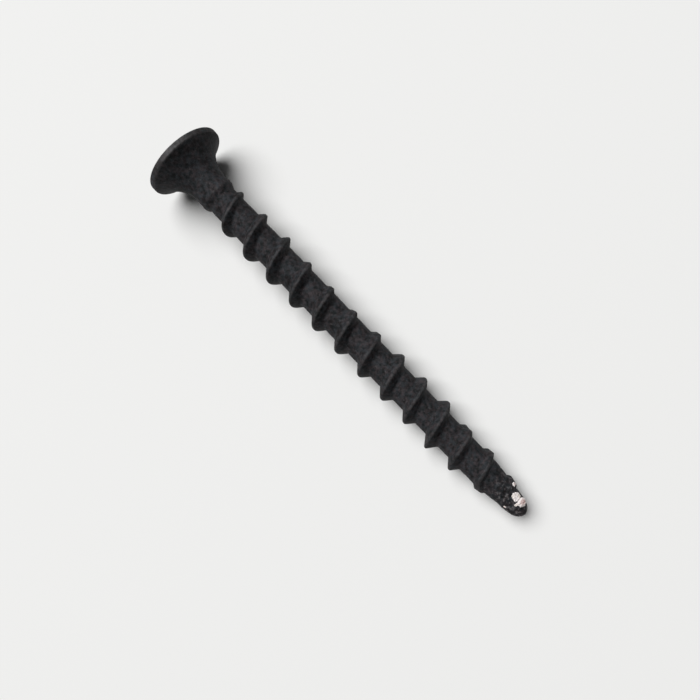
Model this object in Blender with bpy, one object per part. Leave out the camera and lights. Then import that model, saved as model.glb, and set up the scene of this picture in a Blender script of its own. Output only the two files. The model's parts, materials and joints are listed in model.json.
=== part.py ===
"""A coarse-thread wood screw with a bugle head, lying on a flat surface.

The screw is one piece of cold-headed, thread-rolled steel wire. A few crumbs of dried plaster
cling to its worn point, and each crumb is an object of its own.

The screw's own frame has its axis along X: the centre of the head's flat face is at the origin
and the point is at -X. The empty called "rest" then lays the whole screw on the surface z = 0,
where it touches with the rim of its head and with one crest of its thread.
"""

import math

import bmesh
import bpy
from mathutils import Matrix, Vector

MM = 0.001

# Head: a flat face, a short straight land and a bugle-shaped underside.
HEAD_RADIUS = 4.08 * MM
HEAD_EDGE = 0.10 * MM
HEAD_LAND = 0.50 * MM
BUGLE_END = 4.00 * MM
NECK_RADIUS = 1.80 * MM

# Shank, measured from the head's face to the rounded, worn point.
LENGTH = 48.00 * MM
NECK_END = 4.95 * MM
ROOT_START = 5.50 * MM
ROOT_RADIUS = 1.54 * MM
POINT_TAPER_START = 42.60 * MM
POINT_ROUND_START = 46.20 * MM
POINT_RADIUS = 1.10 * MM

# Thread: single start, right-handed, eight turns to the inch.
PITCH = 25.4 * MM / 8
CREST_RADIUS = 2.30 * MM
CREST_WIDTH = 0.18 * MM
HEAD_FLANK_ANGLE = math.radians(42)
POINT_FLANK_ANGLE = math.radians(37)
THREAD_START = 3.40 * MM
THREAD_START_RADIUS = 1.62 * MM
THREAD_FULL = 12.50 * MM
THREAD_FADE = 39.20 * MM
THREAD_END = 46.60 * MM
THREAD_END_RADIUS = 0.90 * MM
THREAD_SINK = 0.20 * MM
# The thread is rolled a little off centre, towards +Y.
THREAD_OFF_CENTRE = 0.05 * MM
# A crest crosses the +Y side of the shank at this distance from the head's face.
CREST_AT_PLUS_Y = 23.84 * MM

# Crests rubbed down on the -Y side: middle of the worn place along the screw, height of the worn
# surface above the axis there, and how steeply it hollows (height per distance squared).
WORN_PLACES = (
    (10.7 * MM, 2.08 * MM, 0.010 / MM),
    (20.5 * MM, 1.80 * MM, 0.0066 / MM),
    (39.5 * MM, 1.83 * MM, 0.03 / MM),
)

# Cross-shaped driver recess in the head's face.
RECESS_SPAN = 4.60 * MM
RECESS_SPAN_BOTTOM = 1.90 * MM
RECESS_SLOT = 1.05 * MM
RECESS_SLOT_BOTTOM = 0.70 * MM
RECESS_DEPTH = 2.40 * MM
RECESS_CORE_RADIUS = 1.20 * MM
RECESS_CORE_DEPTH = 2.85 * MM
RECESS_TURN = math.radians(20)

# Facets of the round shapes.
HEAD_STEPS = 32
BUGLE_STEPS = 7
POINT_STEPS = 4
THREAD_STEPS = 24

# Crumbs of plaster on the point: distance from the face, angle round the axis from +Z towards
# -Y, length along the axis, width round the shank and thickness.
CRUMBS = {
    "plaster_patch": (45.96 * MM, math.radians(28), 0.72 * MM, 1.04 * MM, 0.13 * MM),
    "plaster_lump": (46.84 * MM, math.radians(34), 0.66 * MM, 1.10 * MM, 0.20 * MM),
    "plaster_spot": (45.20 * MM, math.radians(55), 0.42 * MM, 0.38 * MM, 0.12 * MM),
    "plaster_crumb": (46.00 * MM, math.radians(-54), 0.34 * MM, 0.30 * MM, 0.09 * MM),
}
CRUMB_GAP = 0.02 * MM
CRUMB_RINGS = 3
CRUMB_SIDES = 12


def clear_scene():
    """Remove every object that the open scene holds."""
    for scene_object in list(bpy.data.objects):
        bpy.data.objects.remove(scene_object, do_unlink=True)


def principled(name, colour, roughness, metallic):
    """A plain Principled material."""
    material = bpy.data.materials.new(name)
    material.use_nodes = True
    shader = material.node_tree.nodes["Principled BSDF"]
    shader.inputs["Base Color"].default_value = (*colour, 1.0)
    shader.inputs["Roughness"].default_value = roughness
    shader.inputs["Metallic"].default_value = metallic
    return material


def add_object(name, mesh_builder, material):
    """Turn a finished bmesh into a smooth-shaded object with its material."""
    mesh = bpy.data.meshes.new(name)
    mesh_builder.to_mesh(mesh)
    mesh_builder.free()
    mesh.materials.append(material)
    mesh.shade_smooth()
    mesh.set_sharp_from_angle(angle=math.radians(35))
    part = bpy.data.objects.new(name, mesh)
    bpy.context.scene.collection.objects.link(part)
    return part


def bugle_radius(distance):
    """Radius under the head: a circular arc, hollow side out, that runs out into the neck."""
    length = BUGLE_END - HEAD_LAND
    rise = HEAD_RADIUS - NECK_RADIUS
    arc = (length**2 + rise**2) / (2 * rise)
    return NECK_RADIUS + arc - math.sqrt(arc**2 - (BUGLE_END - distance)**2)


def core_radius(distance):
    """Radius of the turned body below the land, without its thread."""
    if distance < BUGLE_END:
        return bugle_radius(distance)
    if distance < NECK_END:
        return NECK_RADIUS
    if distance < ROOT_START:
        share = (distance - NECK_END) / (ROOT_START - NECK_END)
        return NECK_RADIUS + share * (ROOT_RADIUS - NECK_RADIUS)
    if distance < POINT_TAPER_START:
        return ROOT_RADIUS
    if distance < POINT_ROUND_START:
        share = (distance - POINT_TAPER_START) / (POINT_ROUND_START - POINT_TAPER_START)
        return ROOT_RADIUS + share * (POINT_RADIUS - ROOT_RADIUS)
    share = min(1, (distance - POINT_ROUND_START) / (LENGTH - POINT_ROUND_START))
    return POINT_RADIUS * math.sqrt(1 - share**2)


def core_profile():
    """Outline of the turned body as (distance from the face, radius), face centre to point."""
    outline = [(0, 0), (0, HEAD_RADIUS - HEAD_EDGE), (HEAD_EDGE, HEAD_RADIUS)]
    for step in range(BUGLE_STEPS + 1):
        distance = HEAD_LAND + (BUGLE_END - HEAD_LAND) * step / BUGLE_STEPS
        outline.append((distance, bugle_radius(distance)))
    outline.append((NECK_END, NECK_RADIUS))
    outline.append((ROOT_START, ROOT_RADIUS))
    outline.append((POINT_TAPER_START, ROOT_RADIUS))
    for step in range(POINT_STEPS + 1):
        angle = math.pi / 2 * step / POINT_STEPS
        distance = POINT_ROUND_START + (LENGTH - POINT_ROUND_START) * math.sin(angle)
        outline.append((distance, POINT_RADIUS * math.cos(angle)))
    return outline


def turned_core():
    """Spin the outline round the X axis into a closed body with a facet at the bottom."""
    builder = bmesh.new()
    tilt = math.pi / HEAD_STEPS
    corners = [
        builder.verts.new((-distance, radius * math.sin(tilt), radius * math.cos(tilt)))
        for distance, radius in core_profile()
    ]
    edges = [builder.edges.new(pair) for pair in zip(corners, corners[1:])]
    bmesh.ops.spin(
        builder, geom=corners + edges, cent=(0, 0, 0), axis=(1, 0, 0),
        angle=math.tau, steps=HEAD_STEPS, use_merge=True,
    )
    bmesh.ops.remove_doubles(builder, verts=builder.verts, dist=0.001 * MM)
    bmesh.ops.recalc_face_normals(builder, faces=builder.faces)
    return builder


def new_crest_radius(distance):
    """Radius of the unworn crest: it grows out of the neck and fades along the point."""
    if distance < THREAD_FULL:
        share = (distance - THREAD_START) / (THREAD_FULL - THREAD_START)
        rise = math.sin(share * math.pi / 2)
        return THREAD_START_RADIUS + (CREST_RADIUS - THREAD_START_RADIUS) * rise
    if distance < THREAD_FADE:
        return CREST_RADIUS
    share = (distance - THREAD_FADE) / (THREAD_END - THREAD_FADE)
    return CREST_RADIUS + share**1.5 * (THREAD_END_RADIUS - CREST_RADIUS)


def crest_radius(distance, angle):
    """Radius of the crest at an angle from +Y towards +Z, off centre and worn down."""
    radius = new_crest_radius(distance) + THREAD_OFF_CENTRE * math.cos(angle)
    facing = -math.cos(angle)
    if facing > 0:
        for middle, height, hollow in WORN_PLACES:
            worn_height = height + hollow * (distance - middle)**2
            radius = min(radius, worn_height / facing)
    return radius


def thread_section(distance, angle):
    """Corners (along the axis, radius) of the thread's section, its foot sunk in the core."""
    crest = crest_radius(distance, angle)
    foot = min(core_radius(distance), crest) - THREAD_SINK
    half_crest = CREST_WIDTH / 2
    head_foot = half_crest + (crest - foot) * math.tan(HEAD_FLANK_ANGLE)
    point_foot = half_crest + (crest - foot) * math.tan(POINT_FLANK_ANGLE)
    return [(head_foot, foot), (half_crest, crest), (-half_crest, crest), (-point_foot, foot)]


def thread_ridge():
    """Carry the thread's section along a right-handed helix and close both of its ends."""
    builder = bmesh.new()
    ring_count = math.ceil((THREAD_END - THREAD_START) / PITCH * THREAD_STEPS)
    rings = []
    for ring in range(ring_count + 1):
        distance = THREAD_START + ring * PITCH / THREAD_STEPS
        angle = -math.tau * (distance - CREST_AT_PLUS_Y) / PITCH
        rings.append([
            builder.verts.new((along - distance, radius * math.cos(angle), radius * math.sin(angle)))
            for along, radius in thread_section(distance, angle)
        ])
    for ring, following in zip(rings, rings[1:]):
        for corner in range(len(ring)):
            after = (corner + 1) % len(ring)
            builder.faces.new((ring[corner], ring[after], following[after], following[corner]))
    builder.faces.new(rings[0])
    builder.faces.new(rings[-1])
    bmesh.ops.recalc_face_normals(builder, faces=builder.faces)
    return builder


def tapered_slot():
    """One slot of the cross recess: a bar that narrows both ways towards its bottom."""
    builder = bmesh.new()
    bmesh.ops.create_cube(builder, size=1)
    above = HEAD_EDGE * 2
    slope = (RECESS_SPAN - RECESS_SPAN_BOTTOM) / RECESS_DEPTH
    narrowing = (RECESS_SLOT - RECESS_SLOT_BOTTOM) / RECESS_DEPTH
    for corner in builder.verts:
        depth = -above if corner.co.x > 0 else RECESS_DEPTH
        span = RECESS_SPAN - slope * depth
        width = RECESS_SLOT - narrowing * depth
        corner.co = Vector((-depth, corner.co.y * width, corner.co.z * span))
    return builder


def recess_core():
    """The cone in the middle of the cross recess."""
    builder = bmesh.new()
    above = HEAD_EDGE * 2
    radius_above = RECESS_CORE_RADIUS * (RECESS_CORE_DEPTH + above) / RECESS_CORE_DEPTH
    height = RECESS_CORE_DEPTH + above
    bmesh.ops.create_cone(
        builder, cap_ends=True, segments=12, radius1=0, radius2=radius_above, depth=height,
        matrix=Matrix.Translation((above - height / 2, 0, 0)) @ Matrix.Rotation(math.pi / 2, 4, "Y"),
    )
    bmesh.ops.remove_doubles(builder, verts=builder.verts, dist=0.001 * MM)
    bmesh.ops.recalc_face_normals(builder, faces=builder.faces)
    return builder


def combine(part, other, operation):
    """Join another object to a part, or cut it away, with a Boolean modifier."""
    modifier = part.modifiers.new(other.name, "BOOLEAN")
    modifier.operation = operation
    modifier.object = other
    modifier.solver = "EXACT"
    other.hide_render = True
    other.display_type = "WIRE"


def make_screw(steel):
    """The screw: turned body, thread and cross recess in one closed solid."""
    screw = add_object("screw", turned_core(), steel)
    combine(screw, add_object("thread_ridge", thread_ridge(), steel), "UNION")
    for name, quarter in (("recess_slot_a", 0), ("recess_slot_b", 1)):
        slot = add_object(name, tapered_slot(), steel)
        slot.rotation_euler.x = RECESS_TURN + quarter * math.pi / 2
        combine(screw, slot, "DIFFERENCE")
    cone = add_object("recess_cone", recess_core(), steel)
    combine(screw, cone, "DIFFERENCE")
    return screw


def crumb_mesh(distance, length, width, thickness):
    """A shallow dome on +Z whose underside follows the round of the shank."""
    builder = bmesh.new()
    middle_foot = core_radius(distance) + CRUMB_GAP

    def ring(share, height):
        corners = []
        for side in range(CRUMB_SIDES):
            turn = math.tau * side / CRUMB_SIDES
            angle = share * width / 2 * math.cos(turn) / middle_foot
            along = share * length / 2 * math.sin(turn)
            radius = core_radius(distance - along) + CRUMB_GAP + height
            place = (along, radius * math.sin(angle), radius * math.cos(angle))
            corners.append(builder.verts.new(place))
        return corners

    rings = [ring(step / CRUMB_RINGS, 0) for step in range(1, CRUMB_RINGS + 1)]
    for step in range(1, CRUMB_RINGS):
        rise = math.pi / 2 * step / CRUMB_RINGS
        rings.append(ring(math.cos(rise), thickness * math.sin(rise)))
    for inner, outer in zip(rings, rings[1:]):
        for side in range(CRUMB_SIDES):
            after = (side + 1) % CRUMB_SIDES
            builder.faces.new((inner[side], inner[after], outer[after], outer[side]))
    for cap, height in ((rings[0], 0), (rings[-1], thickness)):
        middle = builder.verts.new((0, 0, middle_foot + height))
        for side in range(CRUMB_SIDES):
            builder.faces.new((middle, cap[side], cap[(side + 1) % CRUMB_SIDES]))
    bmesh.ops.recalc_face_normals(builder, faces=builder.faces)
    return builder


def make_crumb(name, plaster):
    """One crumb of plaster at its place on the worn point."""
    distance, angle, length, width, thickness = CRUMBS[name]
    crumb = add_object(name, crumb_mesh(distance, length, width, thickness), plaster)
    crumb.location = (-distance, 0, 0)
    crumb.rotation_euler.x = angle
    return crumb


def evaluated_corners(part):
    """The part's corners in the screw's own frame, with its modifiers worked in."""
    depsgraph = bpy.context.evaluated_depsgraph_get()
    return [corner.co.copy() for corner in part.evaluated_get(depsgraph).data.vertices]


def lie_on_surface(rest, screw):
    """Tilt the screw until its rim and a crest touch, and centre its box over the origin."""
    corners = evaluated_corners(screw)
    rim = Vector((-HEAD_LAND, 0, -HEAD_RADIUS * math.cos(math.pi / HEAD_STEPS)))
    lie_angle = min(
        math.atan2(corner.z - rim.z, rim.x - corner.x)
        for corner in corners if corner.x < -BUGLE_END
    )
    rest.rotation_euler.y = -lie_angle
    turn = Matrix.Rotation(-lie_angle, 3, "Y")
    turned = [turn @ corner for corner in corners]
    middle_x = (min(c.x for c in turned) + max(c.x for c in turned)) / 2
    rest.location = (-middle_x, 0, -min(c.z for c in turned))


def main():
    clear_scene()
    steel = principled("black_phosphate_steel", (0.035, 0.033, 0.034), 0.62, 0.55)
    plaster = principled("dried_plaster", (0.72, 0.66, 0.63), 0.9, 0.0)
    rest = bpy.data.objects.new("rest", None)
    bpy.context.scene.collection.objects.link(rest)
    screw = make_screw(steel)
    lie_on_surface(rest, screw)
    for crumb_name in CRUMBS:
        make_crumb(crumb_name, plaster)
    for scene_object in bpy.data.objects:
        if scene_object != rest:
            scene_object.parent = rest


main()
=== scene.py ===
"""A black wood screw with dried plaster on its worn point, lying on a pale surface.

Run as a script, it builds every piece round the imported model. Sizes and colours are properties of
the scene, each piece has an operator, and the panel in the 3D view's sidebar lists them.
"""

import json
import math

import bmesh
import bpy
import numpy as np
from bpy.props import FloatProperty, FloatVectorProperty, PointerProperty
from mathutils import Matrix, Vector


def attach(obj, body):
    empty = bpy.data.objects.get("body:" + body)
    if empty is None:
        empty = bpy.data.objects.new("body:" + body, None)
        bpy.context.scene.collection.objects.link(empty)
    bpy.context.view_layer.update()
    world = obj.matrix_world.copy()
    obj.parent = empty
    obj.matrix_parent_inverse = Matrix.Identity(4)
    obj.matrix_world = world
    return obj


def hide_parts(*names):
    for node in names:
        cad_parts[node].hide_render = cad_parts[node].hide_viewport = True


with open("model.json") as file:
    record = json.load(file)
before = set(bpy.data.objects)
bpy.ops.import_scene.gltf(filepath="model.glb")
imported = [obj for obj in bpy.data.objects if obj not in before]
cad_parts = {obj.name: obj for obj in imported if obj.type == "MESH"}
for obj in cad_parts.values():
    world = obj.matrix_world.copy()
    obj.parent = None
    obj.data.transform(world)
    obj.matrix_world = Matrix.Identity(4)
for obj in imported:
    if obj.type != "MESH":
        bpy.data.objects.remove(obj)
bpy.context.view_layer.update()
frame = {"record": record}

bl_info = {
    "name": "Wood Screw",
    "version": (1, 0, 0),
    "blender": (4, 5, 0),
    "location": "3D View > Sidebar > Wood Screw",
    "description": "Builds a bugle-head wood screw, the plaster on its point and a small stage",
    "category": "Add Mesh",
}

MM = 0.001
TAU = math.tau

# Grids: columns round the screw, rows in one turn of its thread, and a crumb's sides and rings.
COLUMNS = 120
ROWS_PER_TURN = 38
CRUMB_SIDES = 96
CRUMB_RINGS = 26
WELD = 0.0005 * MM
SHARP_EDGE = math.radians(42)

# Crumbs: unevenness of their outlines, as shares, and how deep they sink in the steel.
CRUMB_LOBES = 0.07
CRUMB_TEETH = 0.06
CRUMB_EDGE_SINK = 0.006 * MM
CRUMB_BOTTOM_SINK = 0.03 * MM
# The stain is in full up to where the core share * this is 1.
STAIN_SPREAD = 1.6

# The threaded rows start this far before the thread does.
THREAD_LEAD = 0.1 * MM

# Crests rubbed down on the -Y side: middle of the worn place along the screw, height of the worn
# surface above the axis there, and how steeply it hollows (height per distance squared).
WORN_PLACES = (
    (10.7 * MM, 2.08 * MM, 0.010 / MM),
    (20.5 * MM, 1.80 * MM, 0.0066 / MM),
    (39.5 * MM, 1.83 * MM, 0.03 / MM),
)

# Knocks that moved the crest's steel: middle along the screw, angle from +Y towards the upper
# side, reach along and round, how far the crest is raised there, and how much wider it is.
KNOCKS = (
    (36.6 * MM, 0.0, 0.6 * MM, 0.3, 0.20 * MM, 0.0 * MM),
    (43.1 * MM, 0.0, 1.2 * MM, 0.7, -0.08 * MM, 0.70 * MM),
    (45.0 * MM, math.pi, 1.3 * MM, 0.8, 0.25 * MM, 0.80 * MM),
)
# Share of that width by which the crest is pushed towards the point.
KNOCK_LEAN = 0.5

# Unevenness: height of its waves, their length and the seed of their draws.
WAVES = {
    "crest": (0.022 * MM, 2.6 * MM, 3),
    "worn place": (0.020 * MM, 1.4 * MM, 5),
    "core": (0.010 * MM, 1.7 * MM, 11),
    "battered core": (0.022 * MM, 1.7 * MM, 11),
    "step": (1.0, 1.3 * MM, 17),
    "rim": (0.010 * MM, 3.0 * MM, 21),
}
# The core is fully battered this far beyond the start of its taper.
BATTERED_REACH = 3 * MM

# Rubbed places, and the painted highlight on the upward side of the head's land: share of bare
# steel, and half the width of the bell across them.
CREST_RUB = 0.28
STEP_RUB = 0.30
LAND_HIGHLIGHT = 0.75
LOWER_EDGE_RUB = 0.50
RUB_WIDTH = 0.05 * MM
# A crest is rubbed in full once it stands this far out of the core.
RUBBED_CREST = 0.35 * MM

# Plaster dust starts at this place on the X axis and is at its thickest this much nearer the point.
DUST_START = -18.8 * MM
DUST_REACH = 4 * MM


def length(name, description, millimetres):
    """A length property with its default in millimetres."""
    return FloatProperty(
        name=name, description=description, default=millimetres * MM, min=0.0,
        unit="LENGTH", subtype="DISTANCE", precision=5,
    )


def angle(name, description, degrees):
    """An angle property with its default in degrees."""
    return FloatProperty(
        name=name, description=description, default=math.radians(degrees), subtype="ANGLE",
    )


def colour(name, description, value):
    """A colour property."""
    return FloatVectorProperty(
        name=name, description=description, default=value, size=3, min=0.0, max=1.0,
        subtype="COLOR",
    )


class WoodScrewSizes(bpy.types.PropertyGroup):
    """Sizes of the screw. Distances along it are measured from the head's flat face."""

    head_radius: length("Head Radius", "Radius of the head's rim", 4.08)
    head_edge: length("Head Edge", "Radius of the rounding round the head's face", 0.10)
    head_land: length("Head Land", "Depth of the straight rim", 0.56)
    bugle_end: length("Bugle End", "Where the flare runs out into the neck", 4.00)
    neck_radius: length("Neck Radius", "Radius of the neck under the flare", 1.80)
    total: length("Length", "Length from the face to the worn point", 48.00)
    neck_end: length("Neck End", "Where the neck steps down to the thread's root", 4.95)
    root_start: length("Root Start", "Where the neck has thinned to the thread's root", 5.50)
    root_radius: length("Root Radius", "Radius of the shank between the threads", 1.54)
    taper_start: length("Taper Start", "Where the shank starts to thin towards the point", 42.60)
    round_start: length("Round Start", "Where the rounded point starts", 46.20)
    point_radius: length("Point Radius", "Radius where the rounded point starts", 1.10)
    pitch: length("Pitch", "Distance from one thread to the next", 25.4 / 8)
    crest_radius: length("Crest Radius", "Radius of the thread's crest", 2.30)
    crest_width: length("Crest Width", "Width of the flat on the crest", 0.13)
    crest_round: length("Crest Round", "Rounding on each side of the crest", 0.07)
    fillet: length("Fillet", "Rounding in the thread's foot", 0.035)
    head_flank: angle("Head Flank", "Slope of the thread's side facing the head", 42)
    point_flank: angle("Point Flank", "Slope of the thread's side facing the point", 37)
    thread_start: length("Thread Start", "Where the thread's crest starts, sunk in the neck", 3.40)
    thread_start_radius: length("Thread Start Radius", "Radius of the crest there", 1.62)
    thread_full: length("Thread Full", "Where the thread has its full height", 12.50)
    thread_fade: length("Thread Fade", "Where the thread starts to fade", 39.20)
    thread_end: length("Thread End", "Where the thread's crest ends, sunk in the point", 46.60)
    thread_end_radius: length("Thread End Radius", "Radius of the crest there", 0.90)
    off_centre: length("Off Centre", "How far the thread is rolled off centre", 0.05)
    crest_at_side: length("Crest at Side", "Where a crest crosses the screw's +Y side", 23.84)
    recess_span: length("Recess Span", "Recess from tip to tip at the face", 4.60)
    recess_span_bottom: length("Recess Span Bottom", "The same at the bottom", 1.90)
    recess_slot: length("Recess Slot", "Width of the recess's slots at the face", 1.05)
    recess_slot_bottom: length("Recess Slot Bottom", "The same at the bottom", 0.70)
    recess_depth: length("Recess Depth", "Depth of the recess's slots", 2.40)
    recess_core: length("Recess Core", "Radius of the recess's middle at the face", 1.20)
    recess_core_depth: length("Recess Core Depth", "Depth of the recess's middle", 2.85)
    head_tilt: angle("Head Tilt", "How far the head is out of square", 1.9)
    recess_turn: angle("Recess Turn", "Turn of the recess about the screw's axis", 20)


class WoodScrewColours(bpy.types.PropertyGroup):
    """Colours of the finishes."""

    phosphate: colour("Phosphate", "The black coating, bluish places", (0.0066, 0.0084, 0.0086))
    phosphate_warm: colour("Warm Phosphate", "Brownish places in it", (0.0094, 0.0080, 0.0082))
    pale: colour("Pale Phosphate", "Greyer patches of the coating", (0.037, 0.040, 0.0455))
    pale_warm: colour("Warm Pale Phosphate", "Brownish places in them", (0.0475, 0.041, 0.0445))
    # Bare steel is also the painted highlight on the upward side of the head's land.
    bare_and_highlight: colour("Bare Steel", "Steel where the coating is rubbed off", (0.13, 0.125, 0.125))
    dust: colour("Dust", "Plaster dust on the point", (0.30, 0.275, 0.27))
    plaster: colour("Plaster", "Dried plaster", (0.86, 0.81, 0.80))
    plaster_warm: colour("Warm Plaster", "Creamy places in the plaster", (0.74, 0.66, 0.55))
    # This colour also paints shade in the plaster's pores.
    stain_and_pore_shade: colour("Stain", "Pinkish stain in the plaster", (0.52, 0.36, 0.34))
    surface: colour("Surface", "The pale surface the screw lies on", (0.86, 0.86, 0.85))


class WoodScrewStage(bpy.types.PropertyGroup):
    """The camera and the light."""

    eye: FloatVectorProperty(
        name="Eye", description="Place of the camera", subtype="TRANSLATION", unit="LENGTH",
        default=(-12.04 * MM, -0.21 * MM, 75.56 * MM), precision=5,
    )
    aim: FloatVectorProperty(
        name="Aim", description="Where the camera's axis meets the surface", precision=5,
        subtype="TRANSLATION", unit="LENGTH", default=(-8.85 * MM, 4.57 * MM, 0.0),
    )
    roll: angle("Roll", "Turn of the camera about its own axis", 226.26)
    lens: FloatProperty(
        name="Lens", description="Focal length", default=38.43, min=1.0, unit="CAMERA",
    )
    shift: FloatVectorProperty(
        name="Shift", description="Shift of the lens across and up", size=2, default=(-0.05, 0.12),
    )
    key_power: FloatProperty(
        name="Key Power", description="Light from the head's side", default=79.0, unit="POWER",
    )
    key_size: length("Key Size", "Width of that light", 2200)
    key_reach: length("Key Reach", "Its distance from the screw", 2500)
    key_bearing: angle("Key Bearing", "Its bearing from the head's side towards +Y", 6)
    key_height: angle("Key Height", "Its height above the surface", 62)
    sky: FloatProperty(name="Sky", description="Strength of the even light", default=0.05)
    backdrop: FloatProperty(name="Backdrop", description="Paleness behind", default=0.86)
    surface_size: length("Surface Size", "Width of the pale surface", 1200)


# ---------------------------------------------------------------- the screw's own frame


def lie(sizes):
    """The screw as it lies: the centre of its face, its axis towards the head, and its upper side.

    The axis is the head face's own. The rim touches z = 0, which sets the height of the face's
    centre, and the centre is in the face's plane with y = 0.
    """
    mount = frame["record"]["mounts"][0]
    axis = np.array(mount["axis"]) / np.linalg.norm(mount["axis"])
    up = np.array([-axis[2], 0.0, axis[0]])
    height = sizes.head_land * axis[2] + sizes.head_radius * up[2]
    on_face = np.array(mount["pos_m"])
    across = on_face[0] - (height - on_face[2]) * axis[2] / axis[0]
    return np.array([across, 0.0, height]), axis, up


def placed(sizes, points):
    """Points in the row frame, from (distance from the face, +Y, towards the upper side)."""
    centre, axis, up = lie(sizes)
    side = np.array([0.0, 1.0, 0.0])
    return centre - points[..., :1] * axis + points[..., 1:2] * side + points[..., 2:3] * up


def round_points(distance, radius, turn):
    """Points at a distance, a radius and an angle from +Y towards the upper side."""
    distance, radius, turn = np.broadcast_arrays(distance, radius, turn)
    return np.stack([distance, radius * np.cos(turn), radius * np.sin(turn)], axis=-1)


def ripple(distance, turn, wavelength, seed, count=9):
    """Smooth noise from -1 to 1 that closes round the shank.

    It is a sum of cosines of (distance over a wavelength + a whole number times the angle + a
    phase), with wavelengths and phases drawn from the seed.
    """
    draw = np.random.default_rng(seed)
    total = 0.0
    for _ in range(count):
        along = TAU / (wavelength * draw.uniform(0.7, 1.8))
        around = draw.integers(-3, 4) * max(1, round(1.2 * MM / wavelength))
        total = total + np.cos(along * distance + around * turn + draw.uniform(0, TAU))
    return total / math.sqrt(count)


def waves(kind, distance, turn):
    """Unevenness of one kind: the height of its waves * smooth noise."""
    height, wavelength, seed = WAVES[kind]
    return height * ripple(distance, turn, wavelength, seed)


# ---------------------------------------------------------------- shape of the steel


def bugle_radius(sizes, distance):
    """Radius of the flare: a circular arc, hollow side out, that runs out into the neck."""
    depth = sizes.bugle_end - sizes.head_land
    rise = sizes.head_radius - sizes.neck_radius
    arc = (depth**2 + rise**2) / (2 * rise)
    left = np.clip(sizes.bugle_end - distance, 0, depth)
    return sizes.neck_radius + arc - np.sqrt(arc**2 - left**2)


def point_share(sizes, distance):
    """Share of the radius that is left on the rounded point: a quarter ellipse."""
    share = (distance - sizes.round_start) / (sizes.total - sizes.round_start)
    return np.sqrt(1 - np.clip(share, 0, 1)**2)


def core_radius(sizes, distance):
    """Radius of the turned body: flare, neck, root, taper and rounded point."""
    stations = [
        sizes.bugle_end, sizes.neck_end, sizes.root_start, sizes.taper_start, sizes.round_start,
    ]
    radii = [
        sizes.neck_radius, sizes.neck_radius, sizes.root_radius, sizes.root_radius,
        sizes.point_radius,
    ]
    body = np.interp(distance, stations, radii) * point_share(sizes, distance)
    return np.where(distance < sizes.bugle_end, bugle_radius(sizes, distance), body)


def knocked(distance, turn):
    """How far knocks raise the crest and how much they widen it.

    Each knock is a bell: e to the power of minus (the distance from its middle over its reach)
    squared, minus (the angle from its side over its reach round) squared.
    """
    raised, wider = 0.0, 0.0
    for middle, side, along, around, height, spread in KNOCKS:
        off_side = np.angle(np.exp(1j * (turn - side)))
        bell = np.exp(-((distance - middle) / along)**2 - (off_side / around)**2)
        raised = raised + height * bell
        wider = wider + spread * bell
    return raised, wider


def crest_radius(sizes, distance, turn):
    """Radius of the thread's crest, grown in, faded out, off centre, uneven, knocked and worn.

    It rises from the neck as a quarter sine and falls along the point as a power of 1.5. A cosine
    of the angle puts it off centre, knocks raise it, and a parabola over each worn place cuts it
    down.
    """
    growth, fading = sizes.thread_full - sizes.thread_start, sizes.thread_end - sizes.thread_fade
    grown = np.clip((distance - sizes.thread_start) / growth, 0, 1)
    faded = np.clip((distance - sizes.thread_fade) / fading, 0, 1)
    rise = sizes.crest_radius - sizes.thread_start_radius
    radius = sizes.thread_start_radius + rise * np.sin(grown * math.pi / 2)
    radius = radius + faded**1.5 * (sizes.thread_end_radius - sizes.crest_radius)
    radius = radius + sizes.off_centre * np.cos(turn)
    radius = radius + waves("crest", distance, turn) * (grown > 0.3)
    raised, _ = knocked(distance, turn)
    radius = radius + raised
    facing = np.maximum(-np.cos(turn), 0.001)
    for middle, height, hollow in WORN_PLACES:
        worn = height + hollow * (distance - middle)**2 + waves("worn place", distance, turn)
        radius = np.minimum(radius, worn / facing)
    return radius * point_share(sizes, distance)


def steel_radius(sizes, distance, turn):
    """Radius of the threaded body, and how much of it is rubbed bare (0 to 1).

    The thread's section is the crest less (distance from the crest line over the tangent of the
    flank), rounded at the top by a hyperbola, and joined to the core by a smooth maximum. It is
    rubbed along the crest and, in places, along the step at the neck's end.
    """
    core = core_radius(sizes, distance)
    battered = np.clip((distance - sizes.taper_start) / BATTERED_REACH, 0, 1)
    uneven = waves("core", distance, turn) + battered * waves("battered core", distance, turn)
    core = core + uneven * point_share(sizes, distance)
    crest = crest_radius(sizes, distance, turn)
    phase = (distance - sizes.crest_at_side) / sizes.pitch + turn / TAU
    _, wider = knocked(distance, turn)
    offset = (phase - np.round(phase)) * sizes.pitch - KNOCK_LEAN * wider
    slope = np.where(offset > 0, math.tan(sizes.point_flank), math.tan(sizes.head_flank))
    beyond = np.maximum(np.abs(offset) - (sizes.crest_width + wider) / 2, 0)
    drop = (np.hypot(beyond, sizes.crest_round) - sizes.crest_round) / slope
    over = (crest - drop - core) / sizes.fillet
    radius = core + sizes.fillet * np.logaddexp(0, over)
    height = np.clip((crest - core) / RUBBED_CREST, 0, 1)
    along_crest = height * np.exp(-(drop / RUB_WIDTH)**2)
    step = np.exp(-((distance - sizes.neck_end) / RUB_WIDTH)**2)
    step = step * (1 + waves("step", distance, turn))
    return radius, np.clip(CREST_RUB * along_crest + STEP_RUB * step, 0, 1)


# ---------------------------------------------------------------- rings of the screw's surface


def column_turns(sizes):
    """Angles of the mesh's columns. The first runs through the tip of a recess slot."""
    return sizes.recess_turn + TAU * np.arange(COLUMNS) / COLUMNS


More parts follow.
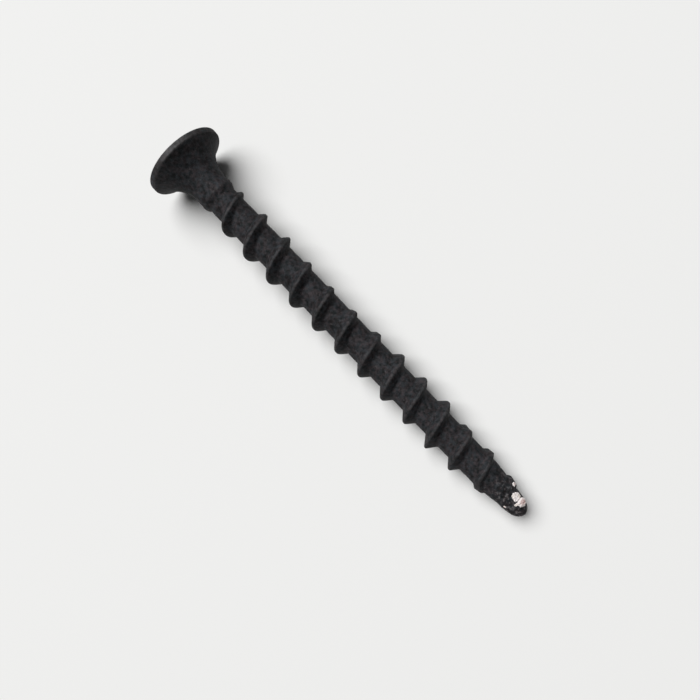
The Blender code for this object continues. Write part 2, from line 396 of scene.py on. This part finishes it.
def cross_outline(sizes, depth):
    """One ring of the recess at a depth, as (radius, angle).

    Each eighth of the ring runs along half a slot's end and then along its side to the corner.
    The round core of the recess fills the inner corners.
    """
    share = depth / sizes.recess_depth
    span = sizes.recess_span + share * (sizes.recess_span_bottom - sizes.recess_span)
    slot = sizes.recess_slot + share * (sizes.recess_slot_bottom - sizes.recess_slot)
    core = sizes.recess_core * (1 - depth / sizes.recess_core_depth)
    eighth = COLUMNS // 8
    end = eighth // 3
    step = np.arange(eighth + 1)
    across = slot / 2 * np.minimum(step / end, 1)
    along = span / 2 - (span - slot) / 2 * np.maximum(step - end, 0) / (eighth - end)
    turn = np.arctan2(across, along)
    radius = np.maximum(np.hypot(across, along), core)
    quarter_turn = np.concatenate([turn[:-1], math.pi / 2 - turn[:0:-1]])
    quarter_radius = np.concatenate([radius[:-1], radius[:0:-1]])
    turns = (quarter_turn + np.arange(4)[:, None] * math.pi / 2).ravel()
    return np.tile(quarter_radius, 4), sizes.recess_turn + turns


def recess_rings(sizes):
    """Rings from the bottom of the recess, up its walls and over its edge."""
    rings = []
    bottom_radius, bottom_turn = cross_outline(sizes, sizes.recess_depth)
    for scale in (0.0, 0.25, 0.5, 0.8):
        depth = sizes.recess_depth + 0.3 * MM * (1 - scale)**2
        rings.append(round_points(depth, bottom_radius * scale, bottom_turn))
    for depth in np.linspace(sizes.recess_depth, 0.05 * MM, 16):
        rings.append(round_points(depth, *cross_outline(sizes, depth)))
    for depth, out in ((0.02 * MM, 0.012 * MM), (0.004 * MM, 0.03 * MM), (0.0, 0.05 * MM)):
        radius, turn = cross_outline(sizes, 0.0)
        rings.append(round_points(depth, radius + out, turn))
    return rings


def face_rings(sizes, mouth):
    """Flat rings from the recess's mouth out to the start of the rounded edge."""
    rim = round_points(0.0, sizes.head_radius - sizes.head_edge, column_turns(sizes))
    return [mouth + share * (rim - mouth) for share in (0.08, 0.2, 0.4, 0.6, 0.8, 0.93)]


def rim_profile(sizes):
    """(distance, radius) round the head's edge, down the land and round into the flare."""
    quarter = np.linspace(0, math.pi / 2, 7)
    edge_distance = sizes.head_edge * (1 - np.cos(quarter))
    edge_radius = sizes.head_radius - sizes.head_edge * (1 - np.sin(quarter))
    land = np.linspace(sizes.head_edge, sizes.head_land - 0.09 * MM, 5)[1:]
    share = np.linspace(0, 1, 8)[1:]
    after = sizes.head_land + 0.07 * MM
    corner_distance = (
        (1 - share)**2 * land[-1] + 2 * share * (1 - share) * sizes.head_land + share**2 * after
    )
    corner_radius = (
        (1 - share**2) * sizes.head_radius + share**2 * bugle_radius(sizes, after)
    )
    distance = np.concatenate([edge_distance, land, corner_distance])
    radius = np.concatenate([edge_radius, np.full(len(land), sizes.head_radius), corner_radius])
    return distance, radius


def head_rings(sizes):
    """Rings of the head from its edge to where the threaded rows take over."""
    turn = column_turns(sizes)
    distance, radius = rim_profile(sizes)
    rim = round_points(distance[:, None], radius[:, None], turn)
    nick = waves("rim", distance[:, None], turn)
    rim[..., 1:] *= 1 + (nick / radius[:, None])[..., None]
    flare = np.linspace(distance[-1], sizes.thread_start - THREAD_LEAD, 34)[1:, None]
    flare_radius, _ = steel_radius(sizes, flare, turn)
    return list(rim) + list(round_points(flare, flare_radius, turn))


def thread_rows(sizes):
    """Rows that follow the helix, crowded together near the crest, cut off at both ends.

    Row r crosses column c at (its start - pitch * c / columns), so a row that has gone once round
    carries on as the row one turn earlier.
    """
    first, last = sizes.thread_start - THREAD_LEAD, sizes.thread_end
    share = np.arange(ROWS_PER_TURN) / ROWS_PER_TURN - 0.5
    offset = sizes.pitch * (share - 0.6 * np.sin(TAU * share) / TAU)
    base = sizes.crest_at_side - sizes.pitch * sizes.recess_turn / TAU
    turn_first = math.floor((first - base) / sizes.pitch) - 1
    turn_last = math.ceil((last - base) / sizes.pitch) + 2
    starts = base + np.arange(turn_first, turn_last)[:, None] * sizes.pitch + offset
    column = np.arange(COLUMNS)
    distance = starts.reshape(-1, 1) - sizes.pitch * column / COLUMNS
    return np.clip(distance, first, last)


def point_rings(sizes):
    """Rings of the blunt point, closing up towards its end, where the last one is a single place."""
    turn = column_turns(sizes)
    share = np.sin(np.linspace(0, math.pi / 2, 22))[1:, None]
    distance = sizes.thread_end + share * (sizes.total - sizes.thread_end)
    radius, _ = steel_radius(sizes, distance, turn)
    return round_points(distance, radius * (share < 1), turn)


def quads(lower, upper):
    """Faces between rows of corner numbers and their upper rows, each row closed on itself."""
    corners = [lower, np.roll(lower, -1, axis=-1), np.roll(upper, -1, axis=-1), upper]
    return np.stack(corners, axis=-1).reshape(-1, 4)


def screw_surface(sizes):
    """Corners, faces and rubbed shares of the whole screw, from recess to point, with the painted
    highlight on the head's land among the shares.
    """
    recess = recess_rings(sizes)
    before = np.array(recess + face_rings(sizes, recess[-1]) + head_rings(sizes))
    turn = column_turns(sizes)
    distance = thread_rows(sizes)
    radius, rubbed_and_highlight = steel_radius(sizes, distance, turn)
    middle = round_points(distance, radius, turn)
    corners = np.concatenate([before, middle, point_rings(sizes)])
    number = np.arange(corners.shape[0] * COLUMNS).reshape(-1, COLUMNS)
    start, stop = len(before), len(before) + len(middle)
    faces = [
        quads(number[:start - 1], number[1:start]),
        helix_quads(number[start:stop]),
        quads(number[stop:-1], number[stop + 1:]),
        quads(number[[start - 1, stop - 1]], number[[start, stop]]),
    ]
    corners = tilted_head(sizes, corners)
    # The head's rings carry their rubbed share and the painted highlight on the land.
    worn = np.zeros(number.shape)
    worn[start:stop] = rubbed_and_highlight
    worn[:start] = rim_wear_and_highlight(sizes, before)
    return corners.reshape(-1, 3), np.concatenate(faces), worn.ravel()


def tilted_head(sizes, corners):
    """The corners with the head a little out of square.

    A corner's distance shrinks by the head tilt * its +Y, in full at the face and not at all
    beyond the flare's end.
    """
    share = np.clip(1 - corners[..., 0] / sizes.bugle_end, 0, 1)
    corners[..., 0] -= sizes.head_tilt * share * corners[..., 1]
    return corners


def helix_quads(number):
    """Faces of the threaded rows: after the last column, a row carries on one turn earlier."""
    column = number.T
    inner = [column[:-1, :-1], column[1:, :-1], column[1:, 1:], column[:-1, 1:]]
    turn, first, last = ROWS_PER_TURN, column[0], column[-1]
    seam = [last[turn:-1], first[:-turn - 1], first[1:-turn], last[turn + 1:]]
    return np.concatenate([np.stack(part, axis=-1).reshape(-1, 4) for part in (inner, seam)])


def rim_wear_and_highlight(sizes, rings):
    """Rubbed share round the head's rim, and a painted highlight on its land.

    It is the largest of a narrow bell over the face's edge, a weaker one over the land's lower
    edge, and the land itself by the fourth power of how far it faces up. The last is a painted
    highlight: bare steel on the land's upward side, where the light falls.
    """
    radius = np.hypot(rings[..., 1], rings[..., 2])
    near_rim = radius > sizes.head_radius - 1.2 * sizes.head_edge
    edge = np.exp(-((rings[..., 0] - 0.4 * sizes.head_edge) / RUB_WIDTH)**2)
    lower = np.exp(-((rings[..., 0] - sizes.head_land) / RUB_WIDTH)**2)
    upward = np.clip(rings[..., 2] / np.maximum(radius, sizes.head_edge), 0, 1)
    # Painted highlight: the land turns to bare steel as it faces up, towards the light.
    land = LAND_HIGHLIGHT * (rings[..., 0] < sizes.head_land) * upward**4
    return np.where(near_rim, np.maximum(np.maximum(edge, land), LOWER_EDGE_RUB * lower), 0.0)


def add_piece(name, corners, faces, material, attributes=()):
    """A smooth, closed piece from arrays of corners and faces, its doubles merged."""
    mesh = bpy.data.meshes.new(name)
    mesh.from_pydata(corners.tolist(), [], faces.tolist())
    for attribute, values in attributes:
        layer = mesh.attributes.new(attribute, "FLOAT", "POINT")
        layer.data.foreach_set("value", np.asarray(values, dtype=np.float32))
    builder = bmesh.new()
    builder.from_mesh(mesh)
    bmesh.ops.remove_doubles(builder, verts=builder.verts, dist=WELD)
    bmesh.ops.dissolve_degenerate(builder, edges=builder.edges, dist=WELD / 10)
    bmesh.ops.recalc_face_normals(builder, faces=builder.faces)
    builder.to_mesh(mesh)
    builder.free()
    mesh.shade_smooth()
    mesh.set_sharp_from_angle(angle=SHARP_EDGE)
    mesh.materials.append(material)
    piece = bpy.data.objects.new(name, mesh)
    bpy.context.scene.collection.objects.link(piece)
    return piece


# ---------------------------------------------------------------- shape of the plaster


def corners_outline(corners, turn):
    """Radius of an uneven outline at each angle, straight between (radius, angle) corners."""
    radii, angles = zip(*corners)
    return np.interp(turn, np.radians(angles), np.array(radii) * MM, period=TAU)


def grainy(along, across, wavelength, seed, count=12):
    """Smooth noise from -1 to 1: a sum of cosines that run in random directions."""
    draw = np.random.default_rng(seed)
    total = 0.0
    for _ in range(count):
        heading, size = draw.uniform(0, TAU), wavelength * draw.uniform(0.5, 1.6)
        run = along * math.cos(heading) + across * math.sin(heading)
        total = total + np.cos(TAU * run / size + draw.uniform(0, TAU))
    return total / math.sqrt(count)


def crumb_surface(sizes, crumb):
    """Corners, faces and core share (1 in the middle, 0 at the edge) of one closed crumb.

    Its top is a polar grid out to the crumb's uneven outline. A corner's height over the steel is
    the thickness * (1 - share ^ steepness) ^ 0.5, roughened by noise and sunk a little at the
    edge. Its underside lies in the steel.
    """
    turn = TAU * np.arange(CRUMB_SIDES) / CRUMB_SIDES
    share = np.sin(np.linspace(0, math.pi / 2, CRUMB_RINGS))[:, None]
    reach = corners_outline(crumb["outline"], turn)
    lobes = CRUMB_LOBES * ripple(0.0, turn * 3, 1.0, crumb["seed"])
    teeth = CRUMB_TEETH * ripple(0.0, turn * 7, 1.0, crumb["seed"] + 2)
    reach = reach * (1 + lobes + teeth)
    along, across = share * reach * np.cos(turn), share * reach * np.sin(turn)
    rough = grainy(along, across, 0.22 * MM, crumb["seed"])
    rough = rough + 0.45 * grainy(along, across, 0.09 * MM, crumb["seed"] + 1)
    over = crumb["thickness"] * (1 + crumb["rough"] * rough)
    over = over * np.sqrt(1 - share**crumb["steepness"])
    distance = crumb["distance"] + along
    around = crumb["turn"] + across / crumb["radius"]
    steel, _ = steel_radius(sizes, distance, around)
    top = round_points(distance, steel + over - CRUMB_EDGE_SINK, around)
    bottom = round_points(distance, steel - CRUMB_BOTTOM_SINK, around)[::-1]
    corners = np.concatenate([top, bottom])
    number = np.arange(corners.shape[0] * CRUMB_SIDES).reshape(-1, CRUMB_SIDES)
    core = np.concatenate([1 - share, 1 - share[::-1]]) * np.ones(CRUMB_SIDES)
    return corners.reshape(-1, 3), quads(number[:-1], number[1:]), core.ravel()


# Crumbs: middle along the screw, angle from +Y towards the upper side, radius of the steel there,
# outline as (radius in mm, angle from the point's end towards -Y in degrees), thickness, steepness
# of the edge, roughness of the top as a share, seed, strength of the stain, and the CAD node that
# the crumb stands for.
CRUMBS = {
    "plaster_patch": {
        "distance": 45.93 * MM, "turn": math.radians(120), "radius": 1.13 * MM,
        "outline": (
            (0.42, 170), (0.37, 136), (0.50, 104), (0.60, 53), (0.42, 13), (0.54, -42),
            (0.52, -68), (0.38, -102), (0.50, -132), (0.40, -155),
        ),
        "thickness": 0.12 * MM, "steepness": 8, "rough": 0.30, "seed": 31,
        "stain": 0.0, "replaces": "plaster_patch",
    },
    "plaster_lump": {
        "distance": 46.76 * MM, "turn": math.radians(123), "radius": 1.05 * MM,
        "outline": (
            (0.34, 180), (0.47, 135), (0.56, 90), (0.54, 45), (0.46, 0), (0.46, -45),
            (0.48, -90), (0.44, -140),
        ),
        "thickness": 0.24 * MM, "steepness": 3, "rough": 0.16, "seed": 41,
        "stain": 0.95, "replaces": "plaster_lump",
    },
    "plaster_spot": {
        "distance": 45.02 * MM, "turn": math.radians(150), "radius": 1.45 * MM,
        "outline": ((0.18, 0), (0.26, 80), (0.20, 170), (0.22, -90)),
        "thickness": 0.12 * MM, "steepness": 2.5, "rough": 0.2, "seed": 51,
        "stain": 0.9, "replaces": "plaster_spot",
    },
    "plaster_crumb": {
        "distance": 46.00 * MM, "turn": math.radians(38), "radius": 1.15 * MM,
        "outline": ((0.14, 0), (0.10, 70), (0.15, 150), (0.10, -100)),
        "thickness": 0.07 * MM, "steepness": 2.5, "rough": 0.3, "seed": 61,
        "stain": 1.3, "replaces": "plaster_crumb",
    },
    "plaster_tail": {
        "distance": 46.56 * MM, "turn": math.radians(94), "radius": 1.08 * MM,
        "outline": ((0.09, 0), (0.27, 75), (0.11, 180), (0.24, -105)),
        "thickness": 0.07 * MM, "steepness": 4, "rough": 0.3, "seed": 71,
        "stain": 0.1, "replaces": None,
    },
}


# ---------------------------------------------------------------- finishes


def solid(value):
    """A colour property with full alpha."""
    return (*value, 1.0)


class Wire:
    """A shader socket that can be used in an expression. Each operator adds a Math node."""

    def __init__(self, nodes, socket):
        self.nodes = nodes
        self.socket = socket

    def maths(self, operation, first, second):
        """One Math node on two values or wires."""
        return self.nodes.add("ShaderNodeMath", {"operation": operation}, {0: first, 1: second})

    def __add__(self, other):
        return self.maths("ADD", self, other)

    def __sub__(self, other):
        return self.maths("SUBTRACT", self, other)

    def __rsub__(self, other):
        return self.maths("SUBTRACT", other, self)

    def __mul__(self, other):
        return self.maths("MULTIPLY", self, other)

    def __truediv__(self, other):
        return self.maths("DIVIDE", self, other)

    def __rtruediv__(self, other):
        return self.maths("DIVIDE", other, self)

    __radd__ = __add__
    __rmul__ = __mul__

    def clamped(self):
        """The value, held between 0 and 1."""
        return self.nodes.add("ShaderNodeClamp", {}, {"Value": self})


class Nodes:
    """The nodes of a material or a world, with its shader at their end."""

    def __init__(self, owner, shader):
        owner.use_nodes = True
        self.tree = owner.node_tree
        self.shader = self.tree.nodes[shader]

    def add(self, kind, settings, inputs, output=0):
        """One node: its type, its settings, the values or wires of its sockets, its output."""
        node = self.tree.nodes.new(kind)
        for name, value in settings.items():
            setattr(node, name, value)
        for name, value in inputs.items():
            self.join(node.inputs[name], value)
        return Wire(self, node.outputs[output])

    def join(self, socket, value):
        """Link a wire to a socket, or set the socket to a value."""
        if isinstance(value, Wire):
            self.tree.links.new(value.socket, socket)
        else:
            socket.default_value = value

    def feed(self, name, value):
        """Set or link one of the shader's own sockets."""
        self.join(self.shader.inputs[name], value)


class Finish(Nodes):
    """A material being made, with a Principled shader at its end."""

    def __init__(self, name, base):
        self.material = bpy.data.materials.new(name)
        self.material.diffuse_color = solid(base)
        super().__init__(self.material, "Principled BSDF")

    def place(self):
        """Coordinates of the object, in metres."""
        return self.add("ShaderNodeTexCoord", {}, {}, "Object")

    def noise(self, grain, detail=3.0, roughness=0.55, seed=0.0):
        """Noise from 0 to 1 whose grains are about that size, in metres."""
        inputs = {
            "Vector": self.place(), "W": seed, "Scale": 1 / grain, "Detail": detail,
            "Roughness": roughness,
        }
        return self.add("ShaderNodeTexNoise", {"noise_dimensions": "4D"}, inputs, "Fac")

    def attribute(self, name):
        """A number stored on the mesh's corners."""
        settings = {"attribute_type": "GEOMETRY", "attribute_name": name}
        return self.add("ShaderNodeAttribute", settings, {}, "Fac")

    def blend(self, share, first, second):
        """A colour between two colours or wires."""
        inputs = {0: share, 6: first, 7: second}
        return self.add("ShaderNodeMix", {"data_type": "RGBA"}, inputs, 2)

    def bump(self, height, depth, strength):
        """Feed the shader's normal from a height between 0 and 1, of that depth in metres."""
        inputs = {"Height": height, "Distance": depth, "Strength": strength}
        self.feed("Normal", self.add("ShaderNodeBump", {}, inputs, "Normal"))


def phosphate_finish(colours):
    """Matt black phosphate: mottled, grainy, rubbed bare on crests, dusty near the point, with a
    painted highlight of bare steel on the upward side of the head's land.
    """
    finish = Finish("black_phosphate", colours.phosphate)
    finish.feed("Specular IOR Level", 0.12)
    patches = finish.noise(1.3 * MM, 2.0)
    grain = finish.noise(0.38 * MM, 3.0, 0.62)
    tint = finish.noise(0.42 * MM, 2.0, 0.6, 4.0)
    fine = finish.noise(0.13 * MM, 2.0, 0.6)
    warmth = ((tint - 0.44) * 8.0).clamped()
    dark = finish.blend(warmth, solid(colours.phosphate), solid(colours.phosphate_warm))
    light = finish.blend(warmth, solid(colours.pale), solid(colours.pale_warm))
    share = ((patches * 0.2 + grain * 0.6 + fine * 0.2 - 0.41) * 5.5).clamped()
    tone = finish.blend(share, dark, light)
    specks = finish.noise(0.24 * MM, 2.0, 0.5, 7.0)
    crystals = ((fine * 0.4 + specks * 0.6 - 0.58) * 7.0).clamped()
    tone = finish.blend(crystals * 0.35, tone, solid(colours.bare_and_highlight))
    # The rubbed share holds the wear and the painted highlight on the head's land.
    rubbed_and_highlight = finish.attribute("rubbed_and_highlight")
    bare_and_highlight = (rubbed_and_highlight * (grain * 1.6 - 0.15)).clamped()
    tone = finish.blend(bare_and_highlight * 0.8, tone, solid(colours.bare_and_highlight))
    along = finish.add("ShaderNodeSeparateXYZ", {}, {"Vector": finish.place()}, "X")
    reach = ((DUST_START - along) / DUST_REACH).clamped()
    dusty = reach * ((crystals * 0.5 + (grain - 0.54) * 7.0).clamped())
    tone = finish.blend(dusty * 0.6, tone, solid(colours.dust))
    finish.feed("Base Color", tone)
    finish.feed("Roughness", (grain * 0.25 + 0.58 - bare_and_highlight * 0.2 + dusty * 0.2).clamped())
    finish.feed("Metallic", (bare_and_highlight * 0.6 + 0.05 - dusty * 0.05).clamped())
    finish.bump(fine * 0.35 + grain * 0.65, 0.03 * MM, 0.8)
    return finish.material


def plaster_finish(colours):
    """Dried plaster: chalky, with creamy places, fine pores with painted shade in them and a pinkish
    stain.
    """
    finish = Finish("dried_plaster", colours.plaster)
    cloud = finish.noise(0.45 * MM, 2.0)
    pores = finish.noise(0.06 * MM, 3.0, 0.65)
    warm = ((cloud - 0.46) * 4.0).clamped()
    tone = finish.blend(warm * 0.6, solid(colours.plaster), solid(colours.plaster_warm))
    stained = (finish.attribute("stain") * (cloud * 1.2 + 0.3)).clamped()
    tone = finish.blend(stained, tone, solid(colours.stain_and_pore_shade))
    # Painted shade: the pores, the low places of the bump, are darkened towards the stain's colour.
    painted_pore_shade = ((0.40 - pores) * 5.0).clamped()
    tone = finish.blend(painted_pore_shade * 0.5, tone, solid(colours.stain_and_pore_shade))
    finish.feed("Base Color", tone)
    finish.feed("Roughness", pores * 0.1 + 0.85)
    finish.bump(pores, 0.02 * MM, 0.8)
    return finish.material


def surface_finish(colours):
    """A matt, pale surface with the faintest tooth."""
    finish = Finish("pale_surface", colours.surface)
    finish.feed("Base Color", solid(colours.surface))
    tooth = finish.noise(0.6 * MM, 2.0)
    finish.feed("Roughness", tooth * 0.1 + 0.85)
    return finish.material


# ---------------------------------------------------------------- operators


class WOODSCREW_OT_screw(bpy.types.Operator):
    """Build the steel screw: recess, head, neck, thread and blunt point in one skin"""

    bl_idname = "woodscrew.screw"
    bl_label = "Build Screw"
    bl_options = {"REGISTER", "UNDO"}

    def execute(self, context):
        sizes = context.scene.wood_screw_sizes
        material = phosphate_finish(context.scene.wood_screw_colours)
        corners, faces, rubbed_and_highlight = screw_surface(sizes)
        # The rubbed share carries the wear and the painted highlight on the head's land.
        attributes = [("rubbed_and_highlight", rubbed_and_highlight)]
        screw = add_piece("steel_screw", placed(sizes, corners), faces, material, attributes)
        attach(screw, "root")
        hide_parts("screw")
        return {"FINISHED"}


class WOODSCREW_OT_plaster(bpy.types.Operator):
    """Build the crumbs of dried plaster on the point"""

    bl_idname = "woodscrew.plaster"
    bl_label = "Build Plaster"
    bl_options = {"REGISTER", "UNDO"}

    def execute(self, context):
        sizes = context.scene.wood_screw_sizes
        material = plaster_finish(context.scene.wood_screw_colours)
        for name, crumb in CRUMBS.items():
            corners, faces, core = crumb_surface(sizes, crumb)
            attributes = [("stain", crumb["stain"] * np.clip(core * STAIN_SPREAD, 0, 1)**2)]
            corners = placed(sizes, corners)
            piece = add_piece(f"dried_{name}", corners, faces, material, attributes)
            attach(piece, "root")
            if crumb["replaces"]:
                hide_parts(crumb["replaces"])
        return {"FINISHED"}


class WOODSCREW_OT_stage(bpy.types.Operator):
    """Set up the pale surface, the soft light and the camera"""

    bl_idname = "woodscrew.stage"
    bl_label = "Build Stage"
    bl_options = {"REGISTER", "UNDO"}

    def execute(self, context):
        stage = context.scene.wood_screw_stage
        self.add_surface(context, stage)
        self.add_sky(context, stage)
        self.add_key(context, stage)
        self.add_camera(context, stage)
        context.scene.view_settings.view_transform = "Standard"
        return {"FINISHED"}

    def add_surface(self, context, stage):
        """A square surface under the screw."""
        half = stage.surface_size / 2
        corners = [(-half, -half, 0), (half, -half, 0), (half, half, 0), (-half, half, 0)]
        mesh = bpy.data.meshes.new("surface")
        mesh.from_pydata(corners, [], [(0, 1, 2, 3)])
        mesh.materials.append(surface_finish(context.scene.wood_screw_colours))
        surface = bpy.data.objects.new("surface", mesh)
        context.scene.collection.objects.link(surface)

    def add_sky(self, context, stage):
        """An even, weak light from all round, with a pale backdrop."""
        world = bpy.data.worlds.new("studio")
        nodes = Nodes(world, "Background")
        seen = nodes.add("ShaderNodeLightPath", {}, {}, "Is Camera Ray")
        nodes.feed("Color", (1.0, 1.0, 1.0, 1.0))
        nodes.feed("Strength", seen * (stage.backdrop - stage.sky) + stage.sky)
        context.scene.world = world

    def add_key(self, context, stage):
        """A large, soft, round light on the head's side."""
        key = bpy.data.lights.new("key", "AREA")
        key.shape = "DISK"
        key.size = stage.key_size
        key.energy = stage.key_power
        lamp = bpy.data.objects.new("key", key)
        level = math.cos(stage.key_height)
        towards = Vector((
            math.cos(stage.key_bearing) * level, math.sin(stage.key_bearing) * level,
            math.sin(stage.key_height),
        ))
        lamp.location = towards * stage.key_reach
        lamp.rotation_euler = towards.to_track_quat("Z", "Y").to_euler()
        context.scene.collection.objects.link(lamp)

    def add_camera(self, context, stage):
        """A camera that looks down on the screw, rolled so that the screw lies aslant."""
        lens = bpy.data.cameras.new("camera")
        lens.lens = stage.lens
        lens.sensor_width = 36.0
        lens.shift_x, lens.shift_y = stage.shift
        lens.clip_start, lens.clip_end = 0.005, 5.0
        lens.dof.use_dof = False
        eye, aim = Vector(stage.eye), Vector(stage.aim)
        forward = (aim - eye).normalized()
        level = (Vector((1, 0, 0)) - forward * forward.x).normalized()
        right = Matrix.Rotation(-stage.roll, 3, forward) @ level
        turn = Matrix((right, right.cross(forward), -forward)).transposed()
        camera = bpy.data.objects.new("camera", lens)
        camera.matrix_world = Matrix.Translation(eye) @ turn.to_4x4()
        context.scene.collection.objects.link(camera)
        context.scene.camera = camera


class WOODSCREW_PT_panel(bpy.types.Panel):
    """Lists the operators and the properties"""

    bl_label = "Wood Screw"
    bl_idname = "WOODSCREW_PT_panel"
    bl_space_type = "VIEW_3D"
    bl_region_type = "UI"
    bl_category = "Wood Screw"

    def draw(self, context):
        column = self.layout.column()
        for operator in OPERATORS:
            column.operator(operator.bl_idname)
        for group_name, group in GROUPS.items():
            for name in group.__annotations__:
                column.prop(getattr(context.scene, group_name), name)


GROUPS = {
    "wood_screw_sizes": WoodScrewSizes,
    "wood_screw_colours": WoodScrewColours,
    "wood_screw_stage": WoodScrewStage,
}
OPERATORS = (WOODSCREW_OT_screw, WOODSCREW_OT_plaster, WOODSCREW_OT_stage)


def register():
    """Register the classes and hang the groups of properties on the scene."""
    for group in GROUPS.values():
        bpy.utils.register_class(group)
    for operator in OPERATORS:
        bpy.utils.register_class(operator)
    bpy.utils.register_class(WOODSCREW_PT_panel)
    for name, group in GROUPS.items():
        setattr(bpy.types.Scene, name, PointerProperty(type=group))


def unregister():
    """Undo what register did."""
    for name in GROUPS:
        delattr(bpy.types.Scene, name)
    bpy.utils.unregister_class(WOODSCREW_PT_panel)
    for operator in OPERATORS:
        bpy.utils.unregister_class(operator)
    for group in GROUPS.values():
        bpy.utils.unregister_class(group)


def main():
    """Register the add-on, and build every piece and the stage."""
    register()
    bpy.ops.woodscrew.screw()
    bpy.ops.woodscrew.plaster()
    bpy.ops.woodscrew.stage()


if __name__ == "__main__":
    main()
